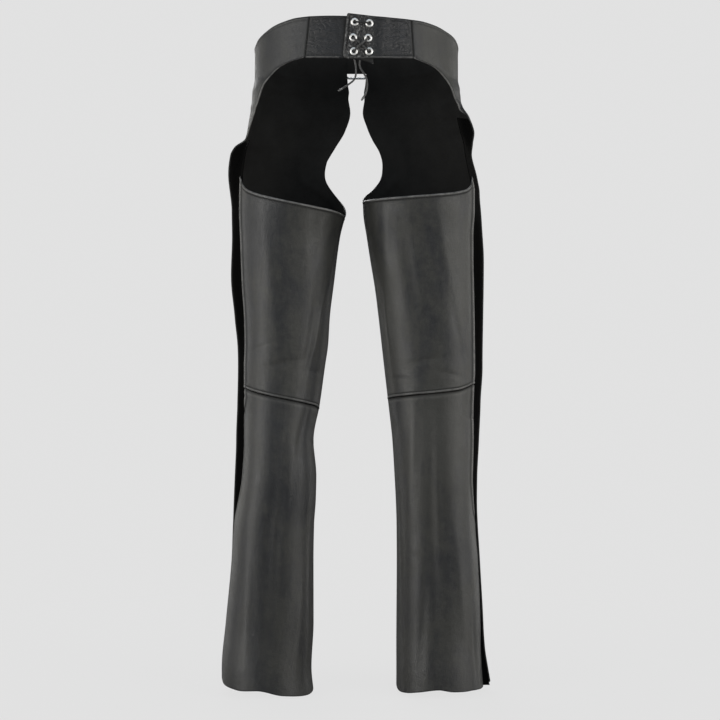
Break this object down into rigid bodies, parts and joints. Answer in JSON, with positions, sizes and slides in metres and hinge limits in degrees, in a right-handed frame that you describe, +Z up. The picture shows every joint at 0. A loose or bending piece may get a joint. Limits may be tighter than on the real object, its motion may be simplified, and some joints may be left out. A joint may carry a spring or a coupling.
{
  "type": "leather chaps",
  "caption": "Open-seat leather leggings on a waist belt, with flap-covered side closures, pieced backs and a laced belt tab.",
  "frame": {"origin": "middle of the waist ring, near half the height of the belt at the back", "axes": "+Z up the wearer, +X to the wearer's left, +Y to the wearer's back"},
  "size_m": [0.4348, 0.2551, 1.0809],
  "materials": {
    "leather": "smooth black leather, semi-matte, fine grain",
    "belt_leather": "black leather, matte, slightly crinkled",
    "tape": "black woven tape, matte",
    "lace": "narrow round black leather lace",
    "metal": "nickel-plated, bright"
  },
  "bodies": {
    "root": {"left_front_panel": "leather", "right_front_panel": "leather", "left_thigh_back": "leather", "right_thigh_back": "leather", "left_calf_back": "leather", "right_calf_back": "leather", "left_back_belt": "belt_leather", "right_back_belt": "belt_leather", "front_strap": "belt_leather", "buckle_chape": "belt_leather", "left_zip_tape": "tape", "right_zip_tape": "tape", "lace": "lace", "lace_end_left": "lace", "lace_end_right": "lace", "eyelet_top_left": "metal", "eyelet_top_right": "metal", "eyelet_middle_left": "metal", "eyelet_middle_right": "metal", "eyelet_bottom_left": "metal", "eyelet_bottom_right": "metal", "lace_tip_left": "metal", "lace_tip_right": "metal", "front_buckle": "metal", "buckle_prong": "metal"}
  },
  "joints": []
}
